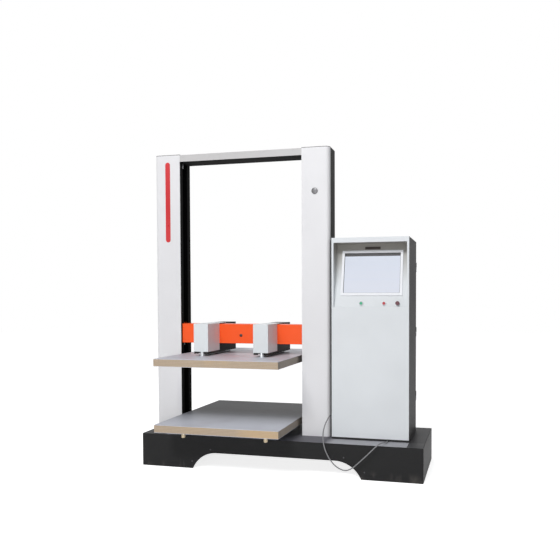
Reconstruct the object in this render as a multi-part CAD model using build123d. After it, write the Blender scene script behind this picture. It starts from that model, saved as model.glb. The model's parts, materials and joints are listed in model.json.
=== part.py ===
from build123d import *
from math import atan2, cos, pi, radians, sin, sqrt, tan
import os

# Two-column carton compression tester with an instrument console on one base.
# Millimetres. X to the right, Y to the back, Z up. The origin is on the floor,
# under the middle of the base in X and under the middle of the platens in Y.
# The base is as long as the columns, the console and the margins that stand on it.

# Base
left_overhang = 6.0
right_overhang = 101.0
base_front = -210.0
base_depth = 500.0
base_height = 207.0
base_wall = 6.0
base_edge = 3.0
left_foot_length = 356.0
right_foot_length = 372.0
foot_setback = 100.0
arch_radius = 180.0
underside_sheet = 2.0
foot_plate = 10.0
deck_thickness = 12.0
drive_space = 90.0
rail_width = 60.0
rail_wall = 5.0
rail_spacing = 300.0
anchor_inset_x = 115.0
anchor_inset_y = 40.0
anchor_hole = 14.0

# Columns
column_gap = 848.0
column_top = 2034.0
column_corner = 25.0
cover_sheet = 2.0
cap_thickness = 3.0
post_wall = 6.0
post_side_space = 33.0
slot_gap = 3.0
beam_height = 42.0
beam_setback = 4.0
beam_wall = 5.0

# Screws, guides and drive
screw_inset = 54.0
screw_diameter = 40.0
journal_diameter = 30.0
guide_inset = 114.0
guide_diameter = 35.0
guide_flange_diameter = 56.0
guide_flange_height = 12.0
running_gap = 0.05
screw_foot_lift = 1.0
screw_head_drop = 37.0
journal_reach = 78.0
journal_end_gap = 3.0
lower_bearing_diameter = 100.0
upper_bearing_diameter = 80.0
bearing_height = 30.0
deck_screw_hole = 60.0
pulley_radius = 45.0
pulley_rim = 4.5
pulley_flange = 2.0
belt_width = 16.0
belt_thickness = 3.0
belt_gap = 0.3
belt_side_gap = 1.0
motor_inset = 141.0
motor_size = 100.0
motor_height = 170.0
encoder_diameter = 84.0
encoder_height = 26.0
reducer_size = 110.0
reducer_height = 88.0
reducer_flange = 10.0
drive_shaft_diameter = 24.0
drive_shaft_depth = 20.0
deck_motor_hole = 50.0

# Platens
platen_side_gap = 24.0
platen_thickness = 46.0
platen_sheet = 2.0
platen_corner = 4.0
upper_platen_z = 670.0
riser_height = 62.0
riser_length = 560.0
riser_width = 80.0
riser_wall = 5.0
riser_spacing = 240.0
stud_diameter = 24.0
stud_chamfer = 2.4
stud_length = 54.0
stud_spacing_x = 546.0
stud_spacing_y = 570.0
stud_nut_width = 36.0
stud_nut_height = 13.0

# Crosshead
crosshead_height = 127.0
crosshead_front = -48.0
crosshead_depth = 91.0
crosshead_wall = 6.0
crosshead_edge = 3.0
crosshead_end_wall = 12.0
crosshead_end_gap = 3.0
arm_depth = 48.0
arm_height = 90.0
carriage_height = 140.0
carriage_depth = 92.0
carriage_start = 20.0
carriage_end_wall = 3.5
carriage_end_gap = 1.5
carriage_side_gap = 7.0
nut_diameter = 62.0
nut_length = 96.0
nut_flange_diameter = 78.0
nut_flange = 14.0
bush_diameter = 50.0
fit_gap = 0.02

# Carriers between the crosshead and the upper platen
carrier_spacing = 404.0
carrier_width = 95.0
carrier_front = -194.0
carrier_back = 187.0
carrier_lift = 14.0
carrier_height = 188.5
carrier_seat = 57.0
carrier_side = 8.0
carrier_end = 4.0
carrier_shelf = 12.0
carrier_cover_lift = 13.0
carrier_notch = 40.0
cell_width = 50.0
cell_depth = 25.0
cell_height = 48.0
cell_slot = 4.0
cell_web = 8.0
cell_inset = 17.0
cell_foot_diameter = 24.0

# Console
console_gap = 24.0
console_front = -102.0
console_back = 235.0
console_top = 1455.0
console_sheet = 3.0
plinth_height = 14.0
front_lip = 8.0
front_sill = 28.0
front_edge = 1.8
top_lip = 22.0
recess_rim = 13.0
recess_top_rim = 30.0
recess_bottom_depth = 15.0
recess_top_depth = 90.0
recess_sheet = 2.0
panel_thickness = 3.0
shelf_lift = 413.0
shelf_front = -60.0
shelf_back = 200.0
rear_lip = 20.0
rear_sill = 90.0
motor_well_gap = 20.0

# Screen and controls on the sloped panel
screen_shift = 2.5
screen_width = 352.0
screen_height = 232.0
screen_thickness = 1.5
screen_side_gap = 2.5
screen_foot_gap = 2.0
screen_head_gap = 20.0
bezel_side = 15.5
bezel_rail = 17.0
bezel_thickness = 6.0
bezel_edge = 2.0
bezel_margin = 35.5
bezel_lift = 49.0
panel_opening_margin = 4.0
panel_head_gap = 21.5
monitor_side = 21.5
monitor_rail = 23.0
monitor_thickness = 32.0
plate_width = 98.0
plate_height = 16.0
plate_thickness = 2.0
plate_gap = 7.0
button_row = 20.5
green_shift = -60.0
red_shift = 83.0
black_shift = 167.5
button_ring_diameter = 28.0
button_ring_height = 5.0
button_barrel_diameter = 22.0
button_barrel_depth = 14.0
button_barrel_floor = 2.0
button_diameter = 18.0
button_fit = 0.08
button_proud = 4.0
button_depth = 8.0
contact_block = 26.0
contact_block_depth = 34.0
mushroom_diameter = 25.0
mushroom_thickness = 6.0
mushroom_lift = 5.0

# Console contents
computer_inset = 91.0
computer_width = 300.0
computer_front = -50.0
computer_depth = 180.0
computer_height = 150.0
case_wall = 1.5
drive_width = 70.0
drive_front = -20.0
drive_depth = 150.0
drive_lift = 93.0
drive_height = 190.0
inlet_inset = 54.0
inlet_lift = 45.0
inlet_width = 50.0
inlet_height = 28.0
inlet_flange = 3.0
inlet_body = 26.0

# Console door
door_gap = 0.5
door_depth = 18.0
door_sheet = 2.5
door_overlap = 14.0
hinge_offset = 3.0
hinge_diameter = 10.0
hinge_pin_diameter = 6.0
hinge_knuckle = 30.0
hinge_gap = 0.3
hinge_margin = 120.0
hinge_count = 3
latch_lift = 653.0
latch_inset = 22.0
latch_shaft = 15.0
latch_knob = 32.0
latch_knob_height = 12.0
latch_cam_length = 24.0
latch_cam_width = 16.0
latch_cam_thickness = 3.0
latch_cam_gap = 2.0
latch_grip_width = 8.0
latch_grip_height = 8.0

# Marks on the columns
strip_inset = 88.0
strip_width = 34.0
strip_length = 529.0
strip_drop = 49.0
strip_thickness = 1.5
badge_inset = 86.5
badge_drop = 276.5
badge_diameter = 40.0
badge_thickness = 4.0
badge_edge = 2.8

# Signal cord between the column and the console's plinth
cord_diameter = 7.0
outlet_front = -15.0
outlet_depth = 55.0
outlet_height = 50.0
outlet_wall = 2.0
gland_lift = 145.0
gland_diameter = 16.0
gland_length = 8.0
relief_root = 12.0
relief_tip = 8.4
relief_length = 22.0
corner_share = 0.45
plinth_exit_inset = 356.0
plinth_exit_lift = 7.0
cord_route = [
    (317.0, -45.0, 352.0),
    (317.0, -74.0, 352.0),
    (311.0, -108.0, 340.0),
    (302.0, -138.0, 315.0),
    (298.0, -167.0, 285.0),
    (301.0, -196.0, 254.0),
    (311.0, -220.0, 220.0),
    (323.0, -234.0, 184.0),
    (341.0, -240.0, 148.0),
    (362.0, -243.0, 116.0),
    (388.0, -244.0, 88.0),
    (419.0, -243.0, 68.0),
    (453.0, -244.0, 59.0),
    (487.0, -243.0, 70.0),
    (516.0, -244.0, 94.0),
    (548.0, -243.0, 124.0),
    (581.0, -244.0, 155.0),
    (613.0, -241.0, 187.0),
    (641.0, -228.0, 214.0),
    (663.0, -203.0, 226.0),
    (677.0, -173.0, 221.0),
    (685.0, -146.0, 214.0),
    (685.0, -121.0, 214.0),
]

# What follows from those sizes: the column round its carriage
half_gap = column_gap / 2
carriage_end = guide_inset + bush_diameter / 2 + carriage_end_wall
post_width = carriage_end + carriage_end_gap + post_wall - cover_sheet
column_width = cover_sheet + post_width + post_side_space
column_depth = carriage_depth + 2 * (carriage_side_gap + post_wall + cover_sheet)
half_depth = column_depth / 2
slot_width = arm_depth + 2 * slot_gap
beam_depth = column_depth - 2 * beam_setback
cover_top = column_top - cap_thickness
beam_underside = cover_top - cover_sheet - beam_height

# The console round its screen
bezel_opening_width = screen_width + 2 * screen_side_gap
bezel_opening_height = screen_height + screen_foot_gap + screen_head_gap
screen_drop = (screen_head_gap - screen_foot_gap) / 2
bezel_width = bezel_opening_width + 2 * bezel_side
bezel_height = bezel_opening_height + 2 * bezel_rail
monitor_width = bezel_opening_width + 2 * monitor_side
monitor_height = bezel_opening_height + 2 * monitor_rail
screen_centre = button_row + bezel_lift + bezel_height / 2
plate_centre = screen_centre + bezel_height / 2 + plate_gap + plate_height / 2
panel_length = plate_centre + plate_height / 2 + panel_head_gap
console_width = bezel_width + 2 * (bezel_margin + recess_rim)

# Places along the base
base_length = (left_overhang + 2 * column_width + column_gap + console_gap + console_width
               + right_overhang)
machine_x = left_overhang + column_width + half_gap - base_length / 2
right_inner = machine_x + half_gap
screw_offset = half_gap + screw_inset
guide_offset = half_gap + guide_inset
console_left = right_inner + column_width + console_gap
console_right = console_left + console_width
console_centre = console_left + console_width / 2
motor_x = console_left + motor_inset
computer_left = console_left + computer_inset
inlet_x = console_right - inlet_inset
plinth_exit_x = console_left + plinth_exit_inset
middle_plane = Plane.YZ.offset(machine_x)
platen_size = column_gap - 2 * platen_side_gap
motor_well = reducer_size + 2 * motor_well_gap
pulley_flange_radius = pulley_radius + pulley_rim
front_cell_y = carrier_front + cell_inset
rear_cell_y = carrier_back - cell_inset

# Heights
deck_underside = base_height - deck_thickness
arch_height = deck_underside - drive_space
journal_foot = deck_underside - journal_reach
screw_foot = deck_underside + screw_foot_lift
screw_head = beam_underside - screw_head_drop
lower_pulley_z = journal_foot + pulley_flange
groove_height = belt_width + 2 * belt_side_gap
upper_pulley_z = lower_pulley_z + groove_height + pulley_flange
lower_platen_z = base_height + riser_height
platen_top = upper_platen_z + platen_thickness
carrier_bottom = platen_top + carrier_lift
carrier_cover_bottom = carrier_bottom + carrier_cover_lift
carrier_top = carrier_bottom + carrier_height
crosshead_z = carrier_bottom + carrier_seat
shelf_height = base_height + shelf_lift
drive_bottom = base_height + drive_lift
inlet_z = base_height + inlet_lift
latch_height = base_height + latch_lift
gland_z = base_height + gland_lift
plinth_exit_z = base_height + plinth_exit_lift


def block(x0, x1, y0, y1, z0, z1):
    """A box between two opposite corners."""
    centre = Pos((x0 + x1) / 2, (y0 + y1) / 2, (z0 + z1) / 2)
    return centre * Box(x1 - x0, y1 - y0, z1 - z0)


def upright(x, y, z0, z1, diameter):
    """A round bar that stands along Z."""
    return Pos(x, y, (z0 + z1) / 2) * Cylinder(diameter / 2, z1 - z0)


def level_bar(x, z, y0, y1, diameter):
    """A round bar that lies along Y."""
    return Pos(x, (y0 + y1) / 2, z) * Rot(90, 0, 0) * Cylinder(diameter / 2, y1 - y0)


def mirrored(shape):
    """The same piece on the other side of the machine's middle."""
    return mirror(shape, about=middle_plane)


def save(name, *shapes):
    """Write one node, with each of its solids apart."""
    solids = [solid for shape in shapes for solid in shape.solids()]
    node = solids[0] if len(solids) == 1 else Compound(solids)
    export_step(node, f"parts/{name}.step")


# Base: a sheet box on two feet, its front and back cut out in an arch between them
half_length = base_length / 2
inner_length = half_length - base_wall
base_back = base_front + base_depth
front_inside = base_front + base_wall
back_inside = base_back - base_wall
left_foot_end = -half_length + left_foot_length
right_foot_end = half_length - right_foot_length
left_foot_wall = left_foot_end - foot_setback
right_foot_wall = right_foot_end + foot_setback


def arch_cut():
    """The open space between the ends of the two feet, as seen from the front."""
    centre_z = arch_height - arch_radius
    reach = sqrt(arch_radius**2 - centre_z**2)
    left = left_foot_end + reach
    right = right_foot_end - reach
    outline = Pos(left, centre_z) * Circle(arch_radius)
    outline += Pos(right, centre_z) * Circle(arch_radius)
    outline += Pos((left + right) / 2, centre_z + arch_radius / 2) * Rectangle(
        right - left, arch_radius)
    clip = Pos(0, arch_height / 2) * Rectangle(base_length, arch_height)
    return extrude(Plane.XZ.offset(-base_back) * (outline & clip), amount=base_depth)


def make_base():
    shell = block(-half_length, half_length, base_front, base_back, 0, base_height)
    shell -= block(-inner_length, inner_length, front_inside, back_inside, 0, base_height)
    shell -= arch_cut()
    shell += block(-inner_length, left_foot_wall, front_inside, back_inside, 0, foot_plate)
    shell += block(right_foot_wall, inner_length, front_inside, back_inside, 0, foot_plate)
    shell += block(left_foot_wall - base_wall, left_foot_wall, front_inside, back_inside,
                   0, arch_height)
    shell += block(right_foot_wall, right_foot_wall + base_wall, front_inside, back_inside,
                   0, arch_height)
    for x in (anchor_inset_x - half_length, half_length - anchor_inset_x):
        for y in (base_front + anchor_inset_y, base_back - anchor_inset_y):
            shell -= upright(x, y, 0, foot_plate, anchor_hole)
    corners = shell.edges().filter_by(Axis.Z).filter_by(
        lambda e: abs(abs(e.center().X) - half_length) < base_wall / 2
        and min(abs(e.center().Y - base_front), abs(e.center().Y - base_back)) < base_wall / 2)
    save("base_shell", fillet(corners, base_edge))

    underside_top = arch_height + underside_sheet
    save("underside_cover", block(left_foot_wall - base_wall, right_foot_wall + base_wall,
                                  front_inside, back_inside, arch_height, underside_top))

    deck = block(-inner_length, inner_length, front_inside, back_inside,
                 deck_underside, base_height)
    for x in (machine_x - screw_offset, machine_x + screw_offset):
        deck -= upright(x, 0, deck_underside, base_height, deck_screw_hole)
    deck -= upright(motor_x, 0, deck_underside, base_height, deck_motor_hole)
    save("deck_plate", deck)

    rails = []
    for sy in (-1, 1):
        y0 = sy * rail_spacing / 2 - rail_width / 2
        y1 = y0 + rail_width
        rail = block(-inner_length, inner_length, y0, y1, underside_top, deck_underside)
        rail -= block(-inner_length, inner_length, y0 + rail_wall, y1 - rail_wall,
                      underside_top + rail_wall, deck_underside - rail_wall)
        rails.append(rail)
    save("base_rails", *rails)


# Columns: each piece is made for the right column and mirrored for the left
def column_face(points_and_curves):
    """A closed outline in the column's own plan, as a face at the deck."""
    face = make_face(points_and_curves)
    return Pos(right_inner, 0, base_height) * face


def outer_corner(radius, start, size):
    centre = (column_width - column_corner, column_corner - half_depth)
    return CenterArc(centre, radius, start, size)


def make_columns():
    bend = column_width - column_corner
    front = -half_depth
    inside = front + cover_sheet
    turn = front + column_corner
    edge = column_width - cover_sheet
    cover = column_face([
        Line((0, front), (bend, front)),
        outer_corner(column_corner, -90, 90),
        Line((column_width, turn), (edge, turn)),
        outer_corner(column_corner - cover_sheet, 0, -90),
        Line((bend, inside), (0, inside)),
        Line((0, inside), (0, front)),
    ])
    cover = extrude(cover, amount=cover_top - base_height)
    save("column_front_right", cover)
    save("column_front_left", mirrored(cover))

    back = half_depth
    rear = column_face(Polyline(
        (column_width, turn), (column_width, back), (0, back), (0, back - cover_sheet),
        (edge, back - cover_sheet), (edge, turn), close=True).edges())
    rear = extrude(rear, amount=cover_top - base_height)
    save("column_rear_right", rear)
    save("column_rear_left", mirrored(rear))

    start = cover_sheet
    far = start + post_width
    side = half_depth - cover_sheet
    post = column_face(Polyline(
        (start, -side), (far, -side), (far, side), (start, side), (start, side - post_wall),
        (far - post_wall, side - post_wall), (far - post_wall, post_wall - side),
        (start, post_wall - side), close=True).edges())
    post = extrude(post, amount=beam_underside - base_height)
    save("column_post_right", post)
    save("column_post_left", mirrored(post))

    strips = []
    for sy in (-1, 1):
        y0, y1 = sorted((sy * slot_width / 2, sy * side))
        strip = block(right_inner, right_inner + cover_sheet, y0, y1, base_height, beam_underside)
        strips += [strip, mirrored(strip)]
    save("slot_strips", *strips)

    cap = column_face([
        Line((0, front), (bend, front)),
        outer_corner(column_corner, -90, 90),
        Line((column_width, turn), (column_width, back)),
        Line((column_width, back), (0, back)),
        Line((0, back), (0, front)),
    ])
    cap = Pos(0, 0, cover_top - base_height) * extrude(cap, amount=cap_thickness)
    save("column_caps", cap, mirrored(cap))

    strip_x = machine_x - half_gap - strip_inset
    strip_middle = column_top - strip_drop - strip_length / 2
    plan = Plane.XZ.offset(half_depth) * Pos(strip_x, strip_middle)
    outline = SlotOverall(strip_length, strip_width, rotation=90)
    save("red_strip", extrude(plan * outline, amount=strip_thickness))

    badge_z = column_top - badge_drop
    badge = Plane.XZ.offset(half_depth) * Pos(right_inner + badge_inset, badge_z)
    disc = extrude(badge * Circle(badge_diameter / 2), amount=badge_thickness)
    rim = disc.edges().filter_by(GeomType.CIRCLE).sort_by(Axis.Y)[0]
    save("column_badge", fillet(rim, badge_edge))


def make_top_beam():
    reach = half_gap + cover_sheet + post_width
    half = beam_depth / 2
    top = beam_underside + beam_height
    tube = block(machine_x - reach, machine_x + reach, -half, half, beam_underside, top)
    tube -= block(machine_x - reach, machine_x + reach, beam_wall - half, half - beam_wall,
                  beam_underside + beam_wall, top - beam_wall)
    save("top_beam", tube)

    x0 = machine_x - half_gap
    x1 = machine_x + half_gap
    skin = half + cover_sheet
    cover = block(x0, x1, -skin, skin, beam_underside, top + cover_sheet)
    cover -= block(x0, x1, -half, half, beam_underside, top)
    save("top_beam_cover", cover)


# Screws, guides, bearings, pulleys, belts and motor
def make_screws():
    bearings = []
    guides = []
    for side, name in ((-1, "left"), (1, "right")):
        x = machine_x + side * screw_offset
        screw = upright(x, 0, screw_foot, screw_head, screw_diameter)
        screw += upright(x, 0, journal_foot, screw_foot, journal_diameter)
        screw += upright(x, 0, screw_head, beam_underside - journal_end_gap, journal_diameter)
        save(f"ball_screw_{name}", screw)

        bore = journal_diameter + 2 * running_gap
        low = upright(x, 0, deck_underside - bearing_height, deck_underside,
                      lower_bearing_diameter)
        high = upright(x, 0, beam_underside - bearing_height, beam_underside,
                       upper_bearing_diameter)
        hole = upright(x, 0, 0, beam_underside, bore)
        bearings += [low - hole, high - hole]

        gx = machine_x + side * guide_offset
        guide = upright(gx, 0, base_height, beam_underside, guide_diameter)
        guide += upright(gx, 0, base_height, base_height + guide_flange_height,
                         guide_flange_diameter)
        guides.append(guide)
    save("screw_bearings", *bearings)
    save("guide_rods", *guides)


def pulley(x, z, grooves):
    """A flanged pulley with its first flange's underside at z."""
    height = grooves * (groove_height + pulley_flange) + pulley_flange
    wheel = upright(x, 0, z, z + height, 2 * pulley_radius)
    for i in range(grooves + 1):
        base = z + i * (groove_height + pulley_flange)
        wheel += upright(x, 0, base, base + pulley_flange, 2 * pulley_flange_radius)
    return wheel


def belt(x0, x1, groove_z):
    """A flat belt round two equal pulleys."""
    inner = 2 * (pulley_radius + belt_gap)
    outer = inner + 2 * belt_thickness
    span = abs(x1 - x0)
    place = Pos((x0 + x1) / 2, 0, groove_z + belt_side_gap)
    loop = SlotCenterToCenter(span, outer) - SlotCenterToCenter(span, inner)
    return extrude(place * loop, amount=belt_width)


def make_drive():
    left = machine_x - screw_offset
    right = machine_x + screw_offset
    first = lower_pulley_z - pulley_flange
    second = upper_pulley_z - pulley_flange
    bore_left = upright(left, 0, 0, base_height, journal_diameter + 2 * fit_gap)
    bore_right = upright(right, 0, 0, base_height, journal_diameter + 2 * fit_gap)
    save("screw_pulley_left", pulley(left, second, 1) - bore_left)
    save("screw_pulley_right", pulley(right, first, 2) - bore_right)

    shaft_top = base_height + drive_shaft_depth
    driver = pulley(motor_x, first, 1)
    driver += upright(motor_x, 0, first, shaft_top - journal_end_gap, drive_shaft_diameter)
    save("drive_pulley", driver)
    save("drive_belts", belt(left, right, upper_pulley_z), belt(right, motor_x, lower_pulley_z))

    half = reducer_size / 2
    flange_top = base_height + reducer_flange
    reducer_top = base_height + reducer_height
    gearbox = block(motor_x - half, motor_x + half, -half, half, base_height, flange_top)
    gearbox += upright(motor_x, 0, flange_top, reducer_top, reducer_size - reducer_flange)
    gearbox -= upright(motor_x, 0, base_height, shaft_top,
                       drive_shaft_diameter + 2 * running_gap)
    save("gear_reducer", gearbox)

    half = motor_size / 2
    motor_top = reducer_top + motor_height
    motor = block(motor_x - half, motor_x + half, -half, half, reducer_top, motor_top)
    motor = fillet(motor.edges().filter_by(Axis.Z), reducer_flange)
    motor += upright(motor_x, 0, motor_top, motor_top + encoder_height, encoder_diameter)
    save("servo_motor", motor)


# Platens: a wood core between two metal sheets
def platen(z):
    half = platen_size / 2
    x0 = machine_x - half
    x1 = machine_x + half
    top = z + platen_thickness
    core = block(x0, x1, -half, half, z + platen_sheet, top - platen_sheet)
    sheets = [block(x0, x1, -half, half, z, z + platen_sheet),
              block(x0, x1, -half, half, top - platen_sheet, top)]
    rounded = [fillet(s.edges().filter_by(Axis.Z), platen_corner) for s in (core, *sheets)]
    return rounded[0], rounded[1:]


def make_platens():
    core, sheets = platen(lower_platen_z)
    save("lower_platen_core", core)
    save("lower_platen_sheets", *sheets)
    core, sheets = platen(upper_platen_z)
    save("upper_platen_core", core)
    save("upper_platen_sheets", *sheets)

    risers = []
    for sy in (-1, 1):
        y0 = sy * riser_spacing / 2 - riser_width / 2
        y1 = y0 + riser_width
        x0 = machine_x - riser_length / 2
        x1 = machine_x + riser_length / 2
        riser = block(x0, x1, y0, y1, base_height, lower_platen_z)
        riser -= block(x0, x1, y0 + riser_wall, y1 - riser_wall,
                       base_height + riser_wall, lower_platen_z - riser_wall)
        risers.append(riser)
    save("platen_risers", *risers)

    studs = []
    for sx in (-1, 1):
        for sy in (-1, 1):
            x = machine_x + sx * stud_spacing_x / 2
            y = sy * stud_spacing_y / 2
            stud = upright(x, y, lower_platen_z - stud_length, lower_platen_z, stud_diameter)
            stud = chamfer(stud.edges().sort_by(Axis.Z)[0], stud_chamfer)
            nut = Pos(x, y, lower_platen_z - stud_nut_height) * extrude(
                RegularPolygon(stud_nut_width / 2, 6), amount=stud_nut_height)
            studs.append(stud + nut)
    save("lower_platen_studs", *studs)


# Crosshead: the beam, its carriages in the columns, nuts and bushes
crosshead_back = crosshead_front + crosshead_depth
crosshead_top = crosshead_z + crosshead_height
crosshead_middle = crosshead_z + crosshead_height / 2


def make_crosshead():
    reach = half_gap - crosshead_end_gap
    hollow = reach - crosshead_end_wall
    tube = block(machine_x - reach, machine_x + reach, crosshead_front, crosshead_back,
                 crosshead_z, crosshead_top)
    tube = fillet(tube.edges().filter_by(Axis.X), crosshead_edge)
    tube -= block(machine_x - hollow, machine_x + hollow,
                  crosshead_front + crosshead_wall, crosshead_back - crosshead_wall,
                  crosshead_z + crosshead_wall, crosshead_top - crosshead_wall)
    save("crosshead_beam", tube)

    low = crosshead_middle - carriage_height / 2
    high = crosshead_middle + carriage_height / 2
    arm_low = crosshead_middle - arm_height / 2
    arm_high = crosshead_middle + arm_height / 2
    screw_x = machine_x + screw_offset
    guide_x = machine_x + guide_offset
    carriage = block(right_inner + carriage_start, right_inner + carriage_end,
                     -carriage_depth / 2, carriage_depth / 2, low, high)
    carriage += block(machine_x + reach, right_inner + carriage_start,
                      -arm_depth / 2, arm_depth / 2, arm_low, arm_high)
    carriage -= upright(screw_x, 0, low, high, nut_diameter + 2 * fit_gap)
    carriage -= upright(guide_x, 0, low, high, bush_diameter + 2 * fit_gap)
    save("carriages", carriage, mirrored(carriage))

    nut = upright(screw_x, 0, low, low + nut_length, nut_diameter)
    nut += upright(screw_x, 0, low - nut_flange, low, nut_flange_diameter)
    nut -= upright(screw_x, 0, low - nut_flange, low + nut_length,
                   screw_diameter + 2 * running_gap)
    save("ball_nuts", nut, mirrored(nut))

    bush = upright(guide_x, 0, low, high, bush_diameter)
    bush -= upright(guide_x, 0, low, high, guide_diameter + 2 * running_gap)
    save("guide_bushes", bush, mirrored(bush))


# Carriers: black frames under the crosshead, each with a light front cover
def make_carriers():
    half = carrier_width / 2
    inner = half - carrier_side
    shelf_low = carrier_bottom + cell_height
    shelf_high = shelf_low + carrier_shelf
    frames = []
    cells = []
    for side, name in ((-1, "left"), (1, "right")):
        x = machine_x + side * carrier_spacing / 2
        frame = block(x - half, x + half, carrier_front, carrier_back, carrier_bottom, carrier_top)
        frame -= block(x - inner, x + inner, carrier_front + carrier_end,
                       carrier_back - carrier_end, carrier_bottom, carrier_top)
        frame += block(x - inner, x + inner, carrier_front + carrier_end,
                       carrier_back - carrier_end, shelf_low, shelf_high)
        frame += block(x - inner, x + inner, crosshead_front - carrier_side,
                       crosshead_back + carrier_side, shelf_low, carrier_top)
        frame -= block(x - half, x + half, crosshead_front, crosshead_back,
                       crosshead_z, carrier_top)
        frame += block(x - half, x + half, crosshead_back, carrier_back,
                       carrier_top, carrier_top + cover_sheet)
        frame -= block(x - carrier_notch / 2, x + carrier_notch / 2, carrier_front,
                       carrier_front + carrier_end, carrier_bottom, carrier_cover_bottom)
        frames.append(frame)

        wide = half + cover_sheet
        front = carrier_front - cover_sheet
        cover = block(x - wide, x + wide, front, crosshead_front,
                      carrier_cover_bottom, carrier_top + cover_sheet)
        edges = cover.edges().filter_by(Axis.Z).sort_by(Axis.Y)[:2]
        cover = fillet(edges, cover_sheet)
        cover -= block(x - half, x + half, carrier_front, crosshead_front,
                       carrier_cover_bottom, carrier_top)
        cover += block(x - wide, x + wide, crosshead_front, crosshead_back,
                       carrier_top, carrier_top + cover_sheet)
        save(f"carrier_cover_{name}", cover)

        for y in (front_cell_y, rear_cell_y):
            cells.append(load_cell(x, y, shelf_low))
    save("carrier_frames", *frames)
    save("load_cells", *cells)


def load_cell(x, y, top):
    """An S-shaped load cell that hangs under a shelf, with its foot on the platen."""
    low = top - cell_height + cell_slot + cell_web
    half = cell_width / 2
    deep = cell_depth / 2
    cell = block(x - half, x + half, y - deep, y + deep, low, top)
    upper = top - cell_web
    lower = low + cell_web
    cell -= block(x - half, x + half - cell_web, y - deep, y + deep, upper - cell_slot, upper)
    cell -= block(x - half + cell_web, x + half, y - deep, y + deep, lower, lower + cell_slot)
    cell += upright(x, y, platen_top, low, cell_foot_diameter)
    return cell


# Console: a dark shell with a light front, a tilted panel and its contents
recess_lean = recess_top_depth - recess_bottom_depth
recess_rise = sqrt(panel_length**2 - recess_lean**2)
recess_top = console_top - recess_top_rim
recess_bottom = recess_top - recess_rise
lean_angle = atan2(recess_lean, recess_rise)
front_back = console_front + console_sheet
panel_plane = Plane(
    origin=(console_centre, console_front + recess_bottom_depth, recess_bottom),
    x_dir=(1, 0, 0), z_dir=(0, -cos(lean_angle), sin(lean_angle)))


def on_panel(x, y, z=0.0):
    """A place on the tilted panel: x across, y up its slope, z out towards the user."""
    return panel_plane * Pos(x, y, z)


def panel_block(x, y, width, height, z0, z1):
    return on_panel(x, y, (z0 + z1) / 2) * Box(width, height, z1 - z0)


def panel_round(x, y, diameter, z0, z1):
    return on_panel(x, y, (z0 + z1) / 2) * Cylinder(diameter / 2, z1 - z0)


def recess_prism(x0, x1, y_front, grow, extra):
    """The recess as a solid, grown by a sheet above and below, and deeper by extra."""
    slope = tan(lean_angle)
    low = recess_bottom - grow
    high = recess_top + grow
    low_y = console_front + recess_bottom_depth - grow * slope + extra
    high_y = console_front + recess_top_depth + grow * slope + extra
    outline = make_face(Polyline((y_front, low), (low_y, low), (high_y, high),
                                 (y_front, high), close=True).edges())
    return extrude(Plane.YZ.offset(x0) * outline, amount=x1 - x0)


def make_console_case():
    sheet = console_sheet
    shell = block(console_left, console_right, front_back, console_back,
                  base_height, console_top)
    shell -= block(console_left + sheet, console_right - sheet, front_back + sheet,
                   console_back - sheet, base_height + sheet, console_top - sheet)
    shell -= block(console_left + front_lip, console_right - front_lip, front_back,
                   front_back + sheet, base_height + front_sill, console_top - top_lip)
    shell -= block(console_left + rear_lip, console_right - rear_lip, console_back - sheet,
                   console_back, base_height + rear_sill, console_top - recess_top_rim)
    shell -= block(motor_x - motor_well / 2, motor_x + motor_well / 2, -motor_well / 2,
                   motor_well / 2, base_height, base_height + sheet)
    shell += block(console_left + sheet, console_right - sheet, shelf_front, shelf_back,
                   shelf_height, shelf_height + sheet)
    shell -= level_bar(plinth_exit_x, plinth_exit_z, front_back, front_back + sheet, relief_root)
    shell -= block(inlet_x - inlet_width / 2, inlet_x + inlet_width / 2, console_back - sheet,
                   console_back, inlet_z - inlet_height / 2, inlet_z + inlet_height / 2)
    save("console_shell", shell)

    left = console_left + recess_rim
    right = console_right - recess_rim
    front = block(console_left, console_right, console_front, front_back,
                  base_height + plinth_height, console_top)
    front = fillet(front.edges().filter_by(Axis.Z).sort_by(Axis.Y)[:2], front_edge)
    front += recess_prism(left - recess_sheet, right + recess_sheet, front_back, recess_sheet, 0)
    front -= recess_prism(left, right, console_front, 0, 2 * panel_thickness)
    save("console_front", front)


def make_panel():
    width = console_width - 2 * recess_rim + 2 * recess_sheet
    sheet = panel_block(0, panel_length / 2, width, panel_length + 2 * recess_sheet,
                        -panel_thickness, 0)
    opening_width = bezel_opening_width + 2 * panel_opening_margin
    opening_height = bezel_opening_height + 2 * panel_opening_margin
    sheet -= panel_block(screen_shift, screen_centre, opening_width, opening_height,
                         -panel_thickness, 0)
    for shift in (green_shift, red_shift, black_shift):
        sheet -= panel_round(screen_shift + shift, button_row, button_barrel_diameter,
                             -panel_thickness, 0)
    save("instrument_panel", sheet)

    bezel = panel_block(screen_shift, screen_centre, bezel_width, bezel_height,
                        0, bezel_thickness)
    outer_face = bezel.faces().sort_by(Axis(panel_plane.origin, panel_plane.z_dir))[-1]
    bezel = fillet(outer_face.edges(), bezel_edge)
    bezel -= panel_block(screen_shift, screen_centre, bezel_opening_width,
                         bezel_opening_height, 0, bezel_thickness)
    save("screen_bezel", bezel)

    monitor = panel_block(screen_shift, screen_centre, monitor_width, monitor_height,
                          -panel_thickness - monitor_thickness, -panel_thickness)
    monitor += panel_block(screen_shift, screen_centre, opening_width, opening_height,
                           -panel_thickness, 0)
    screen_y = screen_centre - screen_drop
    monitor -= panel_block(screen_shift, screen_y, screen_width, screen_height,
                           -screen_thickness, 0)
    save("monitor", monitor)
    save("screen", panel_block(screen_shift, screen_y, screen_width, screen_height,
                               -screen_thickness, 0))
    save("blank_plate", panel_block(screen_shift, plate_centre, plate_width, plate_height,
                                    0, plate_thickness))
    make_buttons()


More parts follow.
